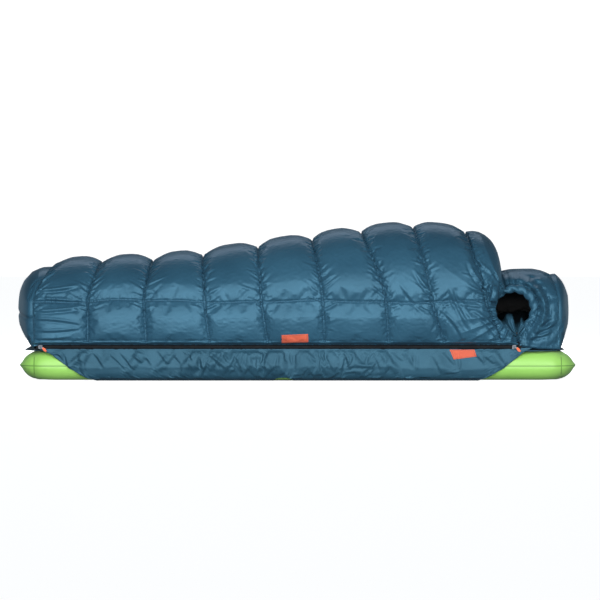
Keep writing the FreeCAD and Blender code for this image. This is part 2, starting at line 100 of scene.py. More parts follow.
# ---- sleeve and pad
SLEEVE_TOP = 0.109
SLEEVE_OUT = 0.2556
SLEEVE_ROUND = 0.0496
SLEEVE_SQUARE = 0.6          # under 1, the sleeve hangs squarer than a round
HEM_RADIUS = 0.0014
FOOT_CUT = [(0.0, -0.655), (0.016, -0.706), (0.055, -0.766), (0.090, -0.812), (SLEEVE_TOP, -0.856)]
HEAD_CUT = [(0.0, 0.588), (0.018, 0.634), (0.043, 0.675), (0.075, 0.716), (0.096, 0.742),
            (SLEEVE_TOP, 0.770)]
NOTCH_X = -0.047              # middle of the small slot at the foot of the near side
NOTCH_SIZE = (0.033, 0.011)   # its half length and height
PAD_HALF_LENGTH = 0.914
PAD_HALF_WIDTH = 0.2535
PAD_CORNER = 0.090
PAD_HALF_HEIGHT = 0.0475
PAD_MIDDLE = 0.0492
TUBE_PITCH = 0.056
PAD_END_SEAM = 0.868         # distance of the cross weld at each end from the middle
PAD_END_TAPER = 0.016        # how much further than at its sides the pad tapers at its ends

# Long single folds of the near side: x and z of the start, x and z of the end, height, bow
TORSO_FOLDS = [
    (-0.865, 0.300, -0.715, 0.318, 0.0045, 0.006), (-0.868, 0.268, -0.700, 0.258, 0.0050, -0.006),
    (-0.868, 0.232, -0.705, 0.246, 0.0045, 0.004), (-0.866, 0.205, -0.712, 0.190, 0.0040, -0.005),
    (-0.862, 0.168, -0.720, 0.176, 0.0040, 0.004), (-0.856, 0.142, -0.740, 0.150, 0.0035, 0.003),
    (0.380, 0.370, 0.452, 0.272, 0.0050, 0.004), (0.330, 0.330, 0.425, 0.222, 0.0040, 0.006),
    (0.492, 0.322, 0.566, 0.170, 0.0050, 0.005), (0.520, 0.296, 0.580, 0.190, 0.0035, 0.004),
    (0.462, 0.240, 0.545, 0.130, 0.0045, -0.012), (0.572, 0.236, 0.672, 0.130, 0.0060, -0.010),
    (0.505, 0.262, 0.610, 0.246, 0.0030, 0.003), (0.560, 0.400, 0.628, 0.300, 0.0050, 0.012),
    (0.575, 0.448, 0.648, 0.352, 0.0045, 0.016), (0.600, 0.330, 0.650, 0.270, 0.0045, 0.004),
    (0.622, 0.256, 0.630, 0.326, -0.0080, 0.002), (0.668, 0.262, 0.670, 0.330, -0.0080, 0.0),
    (0.628, 0.254, 0.668, 0.250, -0.0050, 0.0), (0.626, 0.240, 0.668, 0.238, -0.0045, 0.0),
    (0.626, 0.226, 0.666, 0.226, -0.0045, 0.0), (0.628, 0.213, 0.664, 0.215, -0.0040, 0.0),
]
HOOD_FOLDS = [
    (0.755, 0.140, 0.838, 0.164, 0.0060, 0.003), (0.776, 0.158, 0.846, 0.190, 0.0070, 0.003),
    (0.788, 0.180, 0.838, 0.212, 0.0055, 0.002), (0.768, 0.322, 0.812, 0.330, 0.0035, -0.003),
    (0.782, 0.298, 0.824, 0.306, 0.0035, -0.003),
]
ZIP_FRONT = 0.2503            # the cloth stays behind this beside the zipper, clear of the sliders
SLIDER_TOP = 0.1205           # heights between which the sliders and their grips pass
SLIDER_BOTTOM = 0.104
GRIP_BOTTOM = 0.096
ZIP_END = 0.735               # x of the zipper's head end

SKY_LOW = 0.38                # strength of the backdrop's light near the horizon and overhead
SKY_HIGH = 0.07
SKY_SEEN = 1.1                # strength of the backdrop itself in the picture
SKY_TINT = (0.66, 0.86, 1.0, 1.0)

CLOTH_FRAMES = 24
MOVE_LIMIT = 0.045            # furthest that the simulation may move a point
rng = np.random.default_rng(11)


# ---- grids
def grid_faces(rows, columns, ring=False):
    """Quads of a grid, with the last column joined to the first if it is a ring."""
    index = np.arange(rows * columns).reshape(rows, columns)
    if ring:
        index = np.concatenate([index, index[:, :1]], axis=1)
    corners = (index[:-1, :-1], index[1:, :-1], index[1:, 1:], index[:-1, 1:])
    return np.stack(corners, -1).reshape(-1, 4)


def add_mesh(name, points, faces):
    mesh = bpy.data.meshes.new(name)
    places = np.asarray(points, float).reshape(-1, 3).tolist()
    mesh.from_pydata(places, [], [list(map(int, face)) for face in faces])
    mesh.shade_smooth()
    mesh.update()
    thing = bpy.data.objects.new(name, mesh)
    scene.collection.objects.link(thing)
    return thing


def weld(thing, distance, close=False):
    """Joins points that meet, closes holes if asked, and turns every face outward."""
    work = bmesh.new()
    work.from_mesh(thing.data)
    bmesh.ops.remove_doubles(work, verts=work.verts, dist=distance)
    if close:
        bmesh.ops.holes_fill(work, edges=work.edges, sides=0)
    bmesh.ops.recalc_face_normals(work, faces=work.faces)
    work.to_mesh(thing.data)
    work.free()


def lengths_along(points, axis):
    """Distance travelled along each grid line from its first point."""
    steps = np.linalg.norm(np.diff(points, axis=axis), axis=2)
    start = np.zeros_like(np.take(steps, [0], axis=axis))
    return np.concatenate([start, np.cumsum(steps, axis=axis)], axis=axis)


def travelled(*coordinates):
    """Distance along a line from its first point to each of its points."""
    steps = np.sqrt(sum(np.diff(values) ** 2 for values in coordinates))
    return np.concatenate([[0], np.cumsum(steps)])


def unit(vectors):
    return vectors / np.maximum(np.linalg.norm(vectors, axis=-1, keepdims=True), 1e-9)


def outward(points):
    """Unit normals of a grid whose faces look outward."""
    return unit(np.cross(np.gradient(points, axis=0), np.gradient(points, axis=1)))


def clamp(value):
    return np.clip(value, 0, 1)


def bell(offset, width):
    """1 where there is no offset, falling smoothly to nothing within about twice the width."""
    return np.exp(-(offset / width) ** 2)


def refined(points, times, axis):
    """The grid with each cell divided smoothly into that many along one axis."""
    points = np.moveaxis(points, axis, 0)
    last = len(points) - 1
    place = np.arange(last * times + 1) / times
    cell = np.minimum(place.astype(int), last - 1)
    t = (place - cell).reshape(-1, 1, 1)
    before, here = points[np.maximum(cell - 1, 0)], points[cell]
    after, beyond = points[cell + 1], points[np.minimum(cell + 2, last)]
    bend = 2 * before - 5 * here + 4 * after - beyond
    twist = 3 * here - before - 3 * after + beyond
    result = here + 0.5 * ((after - before) * t + bend * t ** 2 + twist * t ** 3)
    return np.moveaxis(result, 0, axis)


# ---- shape of the insulated top
def section(share, top, half_width, base):
    """(y, z) at a share of the way from the near base (0) over the crown (0.5) to the far base (1)."""
    rise = 1 - np.abs(2 * share - 1)
    widest = base + 0.36 * (top - base)
    edge = min(HALF_WIDTH + 0.0018, half_width)
    low = np.minimum(rise / 0.27, 1)
    turn = clamp((rise - 0.27) / 0.73) * pi / 2
    y = np.where(rise < 0.27, edge + (half_width - edge) * np.sin(low * pi / 2),
                 half_width * np.maximum(np.cos(turn), 0) ** 0.85)
    z = np.where(rise < 0.27, base + (widest - base) * low, widest + (top - widest) * np.sin(turn) ** 0.85)
    return np.sign(2 * share - 1) * y, z


def even_shares(top, half_width, base, seam_column, seam_height):
    """Shares for the grid columns: evenly spaced, with a column exactly on the long seam."""
    y, z = section(EVEN, top, half_width, base)
    travel = travelled(y, z)
    half = len(EVEN) // 2
    at_seam = np.interp(seam_height, z[:half], travel[:half])
    middle = travel[-1] / 2
    low = np.linspace(0, at_seam, seam_column + 1)
    high = np.linspace(at_seam, middle, ARCH_COLUMNS // 2 - seam_column + 1)[1:]
    near = np.concatenate([low, high])
    lengths = np.concatenate([near, 2 * middle - near[-2::-1]])
    return np.interp(lengths, travel, EVEN)


def ring_at(line):
    """Points of one row of the grid, from the near base to the far base."""
    x_top, x_long, x_base, top, half_width, base = line
    long_seam = LONG_SEAM + 0.0035 * sin(11 * x_long + 1.0) + 0.0015 * sin(29 * x_long)
    y, z = section(even_shares(top, half_width, base, SEAM_COLUMN, long_seam), top, half_width, base)
    below = clamp((z - base) / (long_seam - base))
    above = clamp((z - long_seam) / (top - long_seam))
    x = x_base + (x_long - x_base) * below + (x_top - x_long) * above ** 1.3
    return np.stack([x, y, z], -1)


def tube_between(lines, rows_each, gather):
    """Grid through the lines, with rows closer together beside each of them."""
    rows = []
    for first, last in zip(lines, lines[1:]):
        for step in range(rows_each):
            t = step / rows_each
            t -= gather / tau * sin(tau * t)
            rows.append(ring_at([a + (b - a) * t for a, b in zip(first, last)]))
    rows.append(ring_at(lines[-1]))
    return np.stack(rows)


def smooth_tube(lines, rows_each):
    """Grid that curves smoothly through the lines."""
    return np.stack([ring_at(line[0]) for line in refined(np.array(lines)[:, None], rows_each, 0)])


def puffed(points, held_rows, long_seams=True, height=START_PUFF):
    """Moves the cloth out between the held rows, as a start for the simulation."""
    rows, columns = points.shape[:2]
    along = np.zeros(rows)
    for first, last in zip(held_rows, held_rows[1:]):
        t = np.linspace(0, 1, last - first + 1)
        along[first:last + 1] = (4 * t * (1 - t)) ** 0.6
    column = np.arange(columns)
    across = np.minimum(1, np.minimum(column, columns - 1 - column) / 5) ** 0.6
    if long_seams:
        for seam in (SEAM_COLUMN, columns - 1 - SEAM_COLUMN):
            across *= LONG_SEAM_PUFF + (1 - LONG_SEAM_PUFF) * np.minimum(1, np.abs(column - seam) / 9) ** 0.6
    jitter = 1 + 0.012 * rng.standard_normal((rows, columns))
    return points + outward(points) * (height * np.outer(along, across) * jitter)[..., None]


def end_panel(ring, bulge, lean_out, sag):
    """Grid that closes a ring, with its four sides on the near wall, the top, the far wall and the floor."""
    quarter = ARCH_COLUMNS // 4
    near = ring[:quarter + 1]
    top = ring[quarter:3 * quarter + 1]
    far = ring[:3 * quarter - 1:-1]
    share = np.linspace(0, 1, 2 * quarter + 1)[:, None]
    floor = ring[0] * (1 - share) + ring[-1] * share
    floor[:, 2] -= sag * (4 * share[:, 0] * (1 - share[:, 0])) ** 0.3
    u = np.linspace(0, 1, quarter + 1)[:, None, None]
    v = share[None]
    flat = (1 - v) * near[:, None] + v * far[:, None] + (1 - u) * floor[None] + u * top[None]
    flat -= (1 - u) * (1 - v) * near[0] + (1 - u) * v * far[0] + u * (1 - v) * near[-1] + u * v * far[-1]
    dome = (4 * u * (1 - u)) ** 0.5 * (4 * v * (1 - v)) ** 0.5
    behind = np.abs(ring[:, 0]).max() - np.abs(flat[..., :1])
    flat[..., :1] += lean_out * dome * (bulge + 0.9 * np.maximum(behind, 0))
    return flat


# ---- cloth
def start_cloth(name, points, held, pressure, excess, stiffness, turned=False):
    """Cloth grid ready to simulate. held marks the sewn points, and excess is the share of spare cloth."""
    faces = grid_faces(*points.shape[:2])
    thing = add_mesh(name, points, faces[:, ::-1] if turned else faces)
    group = thing.vertex_groups.new(name="sewn")
    group.add(np.flatnonzero(held.ravel()).tolist(), 1.0, 'REPLACE')
    cloth = thing.modifiers.new("Cloth", 'CLOTH')
    cloth.collision_settings.use_collision = False
    cloth.point_cache.frame_end = CLOTH_FRAMES
    cloth.settings.effector_weights.gravity = 0
    for rule, value in dict(
            quality=5, mass=0.15, tension_stiffness=15, compression_stiffness=15, shear_stiffness=5,
            bending_stiffness=stiffness, tension_damping=5, compression_damping=5, shear_damping=5,
            use_pressure=True, uniform_pressure_force=pressure, shrink_min=-excess, shrink_max=-excess,
            vertex_group_mass=group.name).items():
        setattr(cloth.settings, rule, value)
    return thing, points.shape


def run_cloth(jobs):
    """Simulates every cloth together and returns the settled grids."""
    for number in range(1, CLOTH_FRAMES + 1):
        scene.frame_set(number)
    settled = []
    graph = bpy.context.evaluated_depsgraph_get()
    for thing, shape in jobs:
        start = np.array([vertex.co for vertex in thing.data.vertices])
        mesh = thing.evaluated_get(graph).data
        move = np.array([vertex.co for vertex in mesh.vertices]) - start
        size = np.linalg.norm(move, axis=1, keepdims=True)
        move *= np.minimum(1, MOVE_LIMIT / np.maximum(size, 1e-9))
        settled.append((start + move).reshape(shape))
    for thing, _ in jobs:
        bpy.data.objects.remove(thing)
    scene.frame_set(1)
    return settled


def pucker(distance, along, seed, height, pitch, reach, slant):
    """Height of the short creases that a seam gathers into the cloth on both sides of it."""
    def varied(knots, extra):
        values = np.random.default_rng(seed + extra).random(knots)
        return np.interp(along, np.linspace(0, along.max(), knots), values)
    shift, tall, long = varied(60, 0), varied(90, 1), varied(75, 2)
    wave = np.sin(tau * ((along - slant * distance) / pitch + 1.6 * shift))
    return height * (0.25 + 1.2 * tall) * wave * bell(distance, reach * (0.4 + 1.3 * long))


def crease(u, v, start, end, height, width, bend=0.0):
    """Ridge from one place to another on a chart (u, v) of the cloth, with a furrow beside it."""
    line = np.subtract(end, start)
    length = np.hypot(*line)
    along = ((u - start[0]) * line[0] + (v - start[1]) * line[1]) / length ** 2
    off = ((u - start[0]) * line[1] - (v - start[1]) * line[0]) / length
    along = np.clip(along, -0.1, 1.1)
    off = off - bend * 4 * along * (1 - along)
    fade = np.maximum(np.sin(pi * clamp(along)), 0) ** 0.7
    return height * fade * (bell(off, width) - 0.8 * bell(off - 1.5 * width, width))


def fan_creases(distance, up, seed):
    """Straight creases that run into a cross seam from both of its sides, longest beside the long seam."""
    chance = np.random.default_rng(seed)
    rise = np.zeros(distance.shape)
    for side in (-1, 1):
        for start in np.arange(0.045, 0.50, 0.021):
            start += chance.uniform(-0.008, 0.008)
            middle = bell(start - 0.19, 0.11)
            length = chance.uniform(0.35, 1.0) * (0.034 + 0.058 * middle)
            lean = radians(chance.uniform(20, 62))
            height = chance.uniform(0.5, 1.0) * (0.0014 + 0.0016 * middle)
            foot = (-side * 0.15 * length, start - 0.15 * length)
            tip = (side * length * cos(lean), start + length * sin(lean))
            rise += crease(distance, up, foot, tip, height, chance.uniform(0.0032, 0.0055),
                           chance.uniform(-0.003, 0.005))
    return rise


def gather_seams(points, rows, columns, seed):
    """Adds the furrow of every sewn row and column of a grid, and the creases that its stitches gather."""
    travel, across = lengths_along(points, 0), lengths_along(points, 1)
    from_edge = np.minimum(across, across[:, -1:] - across)
    middle = points.shape[1] // 2
    rise = np.zeros(points.shape[:2])
    for row in rows:
        offset = travel - travel[row]
        distance = np.abs(offset)
        small = pucker(distance, from_edge, seed + 7 * row, 0.0013, 0.0125, 0.016, 0.85)
        rise += np.where(distance < 0.06, small, 0)
        rise -= (0.0070 if row == rows[-1] else 0.0034) * bell(distance, 0.0036)
        close = np.flatnonzero(distance.min(axis=1) < 0.10)
        block = slice(close[0], close[-1] + 1)
        for half, side_seed in ((slice(0, middle), 3), (slice(middle, None), 5)):
            fan = fan_creases(offset[block, half], from_edge[block, half], seed + side_seed * row)
            rise[block, half] += fan
    for column in columns:
        distance = np.abs(across - across[:, column:column + 1])
        small = pucker(distance, travel, seed + 13 * column, 0.0013, 0.011, 0.011, 0.6)
        rise += np.where(distance < 0.04, small, 0) - 0.0026 * bell(distance, 0.0030)
    calm_low = 0.45 + 0.55 * clamp((points[..., 2] - 0.19) / 0.06)
    rise *= clamp(travel / 0.004) * np.minimum(1, from_edge / 0.02) * calm_low
    return points + outward(points) * rise[..., None]


def hand_creases(points, folds, width=0.0055):
    """Adds the listed long folds to the near side."""
    rise = np.zeros(points.shape[:2])
    for x, z, end_x, end_z, height, bow in folds:
        rise += crease(points[..., 0], points[..., 2], (x, z), (end_x, end_z), height, width, bow)
    rise *= points[..., 1] < -0.08
    return points + outward(points) * rise[..., None]


# ---- face opening
def polar(points):
    """Distance and angle round the face opening, seen from the zipper side."""
    dx, dz = points[..., 0] - FACE[0], points[..., 2] - FACE[1]
    return np.hypot(dx, dz), np.arctan2(dz, dx)


def opening_radius(angle):
    """The opening is round, with a tip below where the rim is gathered."""
    turn = (angle - TIP_ANGLE + pi) % tau - pi
    return FACE_RADIUS + (FACE_TIP - FACE_RADIUS) * bell(turn, TIP_SPREAD)


def gathered(points):
    """Gathers the near side to the face opening in radial pleats, with a loose fold round its right side."""
    radius, angle = polar(points)
    out = np.maximum(radius - opening_radius(angle), 0)
    near = points[..., 1] < -0.05
    left = 0.5 - 0.5 * np.cos(angle - 0.5)
    crown = bell(angle - 1.85, 0.75)
    wobble = 0.8 * np.sin(3 * angle + 1) + 0.5 * np.sin(7 * angle)
    pleats = 1 - 2 * np.abs(np.sin(11.5 * angle + wobble + 6 * out)) ** 0.8
    reach = 0.030 + 0.035 * left + 0.075 * crown
    rise = (0.0022 + 0.0034 * left + 0.0052 * crown) * pleats * np.exp(-out / reach)
    rise += (0.0016 + 0.0016 * left) * np.sin(45 * angle + 2 * wobble + out * 30) * np.exp(-out / 0.016)
    right = clamp(np.cos(angle - 0.30)) ** 0.6
    fold = bell(out - 0.036, 0.010) - 0.9 * bell(out - 0.020, 0.007) - 0.5 * bell(out - 0.054, 0.008)
    rise += 0.015 * right * fold * (1 + 0.30 * np.sin(17 * angle + 60 * out))
    rise -= 0.012 * np.exp(-out / 0.012)
    moved = points.copy()
    moved[..., 1] -= near * rise
    return moved


def in_opening(points, margin=0.0):
    """Which points of the near side lie in the face opening, or within a margin of it."""
    radius, angle = polar(points)
    return (radius < opening_radius(angle) + margin) & (points[..., 1] < -0.05)


def faces_outside_opening(points):
    faces = grid_faces(*points.shape[:2])
    return faces[~in_opening(points).ravel()[faces].any(axis=1)]


# ---- finishes
def linear(red, green, blue):
    """Linear colour from the usual 0 to 255 values."""
    def channel(value):
        value /= 255
        return value / 12.92 if value <= 0.04045 else ((value + 0.055) / 1.055) ** 2.4
    return (channel(red), channel(green), channel(blue), 1.0)


class Nodes:
    """Shader nodes of one tree, added one by one."""

    def __init__(self, tree):
        self.tree = tree

    def node(self, kind, output, links=(), **settings):
        """Adds a node and returns an output. links gives a value or an output to each of its sockets."""
        made = self.tree.nodes.new("ShaderNode" + kind)
        for key, value in settings.items():
            setattr(made, key, value)
        for socket, source in dict(links).items():
            if isinstance(source, bpy.types.NodeSocket):
                self.tree.links.new(source, made.inputs[socket])
            else:
                made.inputs[socket].default_value = source
        return made.outputs[output]

    def math(self, operation, first, second=0.0):
        return self.node("Math", 0, {0: first, 1: second}, operation=operation)

    def ramp(self, factor, low, high, out_low=0.0, out_high=1.0):
        links = {"Value": factor, "From Min": low, "From Max": high, "To Min": out_low, "To Max": out_high}
        return self.node("MapRange", "Result", links)

    def colours(self, factor, first, second):
        return self.node("Mix", 2, {0: factor, 6: first, 7: second}, data_type='RGBA')


class Finish(Nodes):
    """A procedural material, with the values of its surface."""

    def __init__(self, name, **surface):
        self.material = bpy.data.materials.new(name)
        self.material.use_nodes = True
        super().__init__(self.material.node_tree)
        self.surface = self.tree.nodes["Principled BSDF"].inputs
        for socket, value in surface.items():
            self.surface[socket.replace("_", " ")].default_value = value
        self.place = self.node("TexCoord", "Object")

    def noise(self, scale, detail=3.0, stretch=(1, 1, 1)):
        where = self.node("Mapping", "Vector", {"Vector": self.place, "Scale": stretch})
        return self.node("TexNoise", "Fac", {"Vector": where, "Scale": scale, "Detail": detail})

    def bands(self, direction, pitch):
        """Threads across one direction, that many metres apart."""
        links = {"Vector": self.place, "Scale": 0.314 / pitch, "Distortion": 0.0}
        return self.node("TexWave", "Fac", links, bands_direction=direction)

    def woven(self, pitch):
        """Height of a plain weave with a heavier ripstop thread every few millimetres."""
        weave = self.math('MULTIPLY', self.bands('X', pitch), self.bands('Z', pitch))
        rip = self.math('MAXIMUM', self.bands('X', pitch * 8), self.bands('Z', pitch * 8))
        return self.math('ADD', weave, self.ramp(rip, 0.93, 1.0, 0.0, 1.2))

    def patchy(self, scale, first, second):
        """Two close shades in soft patches."""
        patches = self.ramp(self.noise(scale), 0.35, 0.65)
        return self.colours(patches, linear(*first), linear(*second))

    def speckled(self, shade, colour, scale, low, high, most):
        """A shade with fine spots of another colour."""
        spots = self.ramp(self.noise(scale, 5.0), low, high, 0.0, most)
        return self.colours(spots, shade, linear(*colour))

    def paint(self, source):
        self.tree.links.new(source, self.surface["Base Color"])

    def rough(self, scale, low, high):
        uneven = self.ramp(self.noise(scale), 0.3, 0.7, low, high)
        self.tree.links.new(uneven, self.surface["Roughness"])

    def bump(self, *layers):
        """Stacks (height, strength, distance) layers on the surface."""
        links = {}
        for height, strength, distance in layers:
            links.update({"Height": height, "Strength": strength, "Distance": distance})
            links["Normal"] = self.node("Bump", "Normal", links)
        self.tree.links.new(links["Normal"], self.surface["Normal"])


def shell_finish():
    finish = Finish("shell_nylon", Roughness=0.34, Specular_IOR_Level=0.55,
                    Specular_Tint=(0.34, 0.74, 1.0, 1.0),
                    Sheen_Weight=0.03, Sheen_Tint=(0.5, 0.7, 1.0, 1.0))
    shade = finish.patchy(5.0, (38, 72, 92), (45, 82, 103))
    finish.paint(finish.speckled(shade, (58, 98, 120), 28.0, 0.45, 0.75, 0.15))
    finish.rough(14.0, 0.31, 0.38)
    finish.bump((finish.noise(16.0, 2.0, (1.0, 1.0, 0.6)), 0.04, 0.003),
                (finish.noise(90.0), 0.05, 0.0007), (finish.woven(0.0010), 0.08, 0.0002))
    return finish.material


def sleeve_finish():
    finish = Finish("sleeve_nylon", Roughness=0.50, Specular_IOR_Level=0.6,
                    Specular_Tint=(0.35, 0.75, 1.0, 1.0), Sheen_Weight=0.03)
    shade = finish.patchy(4.0, (31, 62, 79), (38, 72, 90))
    finish.paint(finish.speckled(shade, (58, 96, 114), 40.0, 0.5, 0.8, 0.18))
    finish.rough(12.0, 0.42, 0.54)
    finish.bump((finish.noise(11.0, 4.0, (1.0, 1.0, 0.6)), 0.10, 0.005),
                (finish.noise(60.0), 0.12, 0.001), (finish.woven(0.0012), 0.12, 0.0003))
    return finish.material


def lining_shade_finish():
    finish = Finish("lining_taffeta", Roughness=0.55)
    # Near-black shades: partly the lining's own dark colour, partly painted shade so that the inside of the
    # hood stays dark under the studio light.
    finish.paint(finish.colours(finish.noise(20.0), linear(9, 12, 16), linear(15, 20, 26)))
    finish.bump((finish.noise(40.0, 4.0), 0.4, 0.002), (finish.woven(0.0009), 0.08, 0.0002))
    return finish.material


def pad_finish():
    finish = Finish("pad_fabric", Roughness=0.42, Sheen_Weight=0.1)
    shade = finish.patchy(3.0, (144, 202, 92), (156, 212, 104))
    scuffed = finish.speckled(shade, (126, 182, 82), 70.0, 0.58, 0.85, 0.25)
    x, z = [finish.node("SeparateXYZ", axis, {0: finish.place}) for axis in "XZ"]
    from_seam = finish.math('ABSOLUTE', finish.math('SUBTRACT', z, PAD_MIDDLE))
    from_weld = finish.math('ABSOLUTE', finish.math('SUBTRACT', finish.math('ABSOLUTE', x), PAD_END_SEAM))
    end_weld = finish.math('MULTIPLY', finish.ramp(from_weld, 0.0008, 0.0022, 1.0, 0.0),
                           finish.ramp(from_seam, 0.026, 0.032, 1.0, 0.0))
    lines = finish.math('MAXIMUM', finish.ramp(from_seam, 0.0008, 0.0024, 1.0, 0.0), end_weld)
    finish.paint(finish.colours(finish.math('MULTIPLY', lines, 0.7), scuffed, linear(58, 104, 34)))
    finish.rough(16.0, 0.36, 0.48)
    finish.bump((finish.noise(18.0), 0.25, 0.002), (finish.woven(0.0013), 0.12, 0.0003))
    return finish.material


def label_finish():
    finish = Finish("orange_label", Roughness=0.65, Specular_IOR_Level=0.3, Sheen_Weight=0.05)
    finish.paint(finish.colours(finish.noise(35.0), linear(200, 88, 64), linear(211, 100, 74)))
    finish.bump((finish.noise(60.0), 0.2, 0.001), (finish.bands('Z', 0.0009), 0.35, 0.0003))
    return finish.material


def plain_finish(name, first, second, roughness, metallic=0.0, grain=120.0, rib=None, shine=0.5):
    """Small hardware and trim: two close shades, fine grain, and ribs of that pitch if it is woven."""
    finish = Finish(name, Roughness=roughness, Metallic=metallic, Specular_IOR_Level=shine)
    finish.paint(finish.colours(finish.noise(grain), linear(*first), linear(*second)))
    finish.rough(grain * 0.4, roughness - 0.06, roughness + 0.08)
    layers = [(finish.noise(grain * 2), 0.3, GRAIN_HEIGHT)]
    if rib:
        layers.append((finish.bands('X', rib), 0.4, GRAIN_HEIGHT))
    finish.bump(*layers)
    return finish.material


GRAIN_HEIGHT = 0.0003
PLAIN_LOOKS = {
    # The zipper tape and coil are near black: partly their own dark colour, partly painted shade for the
    # shadow line under the chambers.
    "zipper_tape": dict(first=(8, 13, 18), second=(13, 20, 27), roughness=0.85, rib=0.0016, shine=0.15),
    "zipper_coil": dict(first=(8, 10, 13), second=(14, 17, 21), roughness=0.65, rib=0.0022, shine=0.2),
    "zipper_metal": dict(first=(70, 74, 80), second=(96, 100, 106), roughness=0.35, metallic=0.9),
    "pull_grip": dict(first=(226, 92, 52), second=(240, 110, 66), roughness=0.55, rib=0.0012),
    "drawcord": dict(first=(18, 22, 28), second=(34, 40, 48), roughness=0.7, rib=0.0010),
    "cord_lock_plastic": dict(first=(16, 17, 19), second=(26, 27, 30), roughness=0.42),
    "spring_steel": dict(first=(150, 152, 156), second=(180, 182, 186), roughness=0.3, metallic=1.0),
    "valve_plastic": dict(first=(34, 36, 38), second=(50, 52, 54), roughness=0.45),
    "thread": dict(first=(26, 44, 60), second=(38, 62, 80), roughness=0.7, grain=300.0),
}
FINISHES = {
    "shell_nylon": shell_finish(), "sleeve_nylon": sleeve_finish(), "lining_taffeta": lining_shade_finish(),
    "pad_fabric": pad_finish(), "orange_label": label_finish(),
    **{name: plain_finish(name, **look) for name, look in PLAIN_LOOKS.items()},
}


def finished(thing, slot, body="bag", stands_for=()):
    """Gives a new piece its finish and the CAD body it moves with, and hides the CAD nodes it stands for."""
    thing.data.materials.clear()
    thing.data.materials.append(FINISHES[slot])
    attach(thing, body)
    if stands_for:
        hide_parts(*stands_for)
    return thing


# ---- insulated top: start shapes
torso = tube_between(TORSO_SEAMS, CHAMBER_ROWS, gather=0.3)
shoulder = smooth_tube([TORSO_SEAMS[-1]] + SHOULDER_LINES, SHOULDER_ROWS)
torso = np.concatenate([torso, shoulder[1:]])
torso_held = [CHAMBER_ROWS * number for number in range(len(TORSO_SEAMS))] + [len(torso) - 1]
hood = smooth_tube(HOOD_LINES, HOOD_ROWS)
hood_held = [0, len(hood) - 1]
foot_end = end_panel(torso[0], FOOT_BULGE, -1, 0.014)
hood_end = end_panel(hood[-1], HOOD_BULGE, 1, 0.001)

torso_start = puffed(torso, torso_held)
hood_start = puffed(hood, hood_held, long_seams=False, height=0.006)
HELD_ROUND_OPENING = 0.004   # width of the sewn band round the face opening


def held_mask(points, rows, columns):
    held = np.zeros(points.shape[:2], bool)
    held[rows, :] = True
    held[:, columns] = True
    return held


far_seam = ARCH_COLUMNS - SEAM_COLUMN
torso_mask = held_mask(torso, torso_held, [0, SEAM_COLUMN, far_seam, ARCH_COLUMNS])
hood_mask = held_mask(hood, hood_held, [0, ARCH_COLUMNS])
torso_mask |= in_opening(torso_start, HELD_ROUND_OPENING)
hood_mask |= in_opening(hood_start, HELD_ROUND_OPENING)
end_mask = held_mask(foot_end, [0, len(foot_end) - 1], [0, foot_end.shape[1] - 1])


# ---- sleeve
def sleeve_path(count):
    """(y, z) from the near top edge, under the pad, to the far top edge, evenly spaced."""
    turn = np.linspace(0, pi / 2, 15)
    out, down = np.cos(turn) ** SLEEVE_SQUARE, np.sin(turn) ** SLEEVE_SQUARE
    y = np.concatenate([[-HALF_WIDTH - 0.0005], -SLEEVE_OUT + SLEEVE_ROUND * (1 - out), [0.0]])
    z = np.concatenate([[SLEEVE_TOP], SLEEVE_ROUND * (1 - down), [0.0]])
    y, z = np.concatenate([y, -y[-2::-1]]), np.concatenate([z, z[-2::-1]])
    travel = travelled(y, z)
    even = np.linspace(0, travel[-1], count)
    return np.interp(even, travel, y), np.interp(even, travel, z), travel[-1]


SLEEVE_COLUMNS = 109
SLEEVE_ROWS = 230
sleeve_y, sleeve_z, sleeve_girth = sleeve_path(SLEEVE_COLUMNS)
cut_foot = np.interp(sleeve_z, [z for z, _ in FOOT_CUT], [x for _, x in FOOT_CUT])
cut_head = np.interp(sleeve_z, [z for z, _ in HEAD_CUT], [x for _, x in HEAD_CUT])
share = np.linspace(0, 1, SLEEVE_ROWS)[:, None]
sleeve_x = cut_foot * (1 - share) + cut_head * share
sleeve = np.stack([sleeve_x, np.tile(sleeve_y, (SLEEVE_ROWS, 1)), np.tile(sleeve_z, (SLEEVE_ROWS, 1))], -1)
sleeve_mask = held_mask(sleeve, [0, SLEEVE_ROWS - 1], [0, SLEEVE_COLUMNS - 1])
sleeve_mask |= sleeve[..., 2] < 0.010
sleeve_flat = sleeve.copy()

# ---- simulate
torso, hood, foot_end, hood_end, sleeve = run_cloth([
    start_cloth("torso", torso_start, torso_mask, 3.5, 0.018, 3.0),
    start_cloth("hood", hood_start, hood_mask, 0.8, 0.02, 1.0),
    start_cloth("foot", foot_end, end_mask, 1.2, 0.02, 2.0),
    start_cloth("head", hood_end, end_mask, 0.8, 0.02, 2.0, turned=True),
    start_cloth("sleeve", sleeve, sleeve_mask, 1.0, 0.07, 0.15, turned=True)])


# ---- insulated top: finished pieces
def finer(points, rows, columns):
    return refined(refined(points, rows, 0), columns, 1)


def behind_sliders(points, furthest_in=-0.12):
    """Brings the cloth beside the zipper to its tape, clear of the sliders."""
    x, y, z = np.moveaxis(points, 2, 0)
    room = -ZIP_FRONT - 3.0 * np.maximum(z - SLIDER_TOP, 0)
    low = clamp((SLIDER_TOP + 0.012 - z) / 0.012)
    low *= (y < furthest_in) & (x < ZIP_END)
    kept = points.copy()
    kept[..., 1] += (room - y) * np.where(y < room, np.minimum(low * 3, 1), low)
    return kept


def padded_piece(name, points, faces, fill, *stands_for):
    piece = finished(add_mesh(name, points, faces), "shell_nylon", stands_for=stands_for)
    return piece


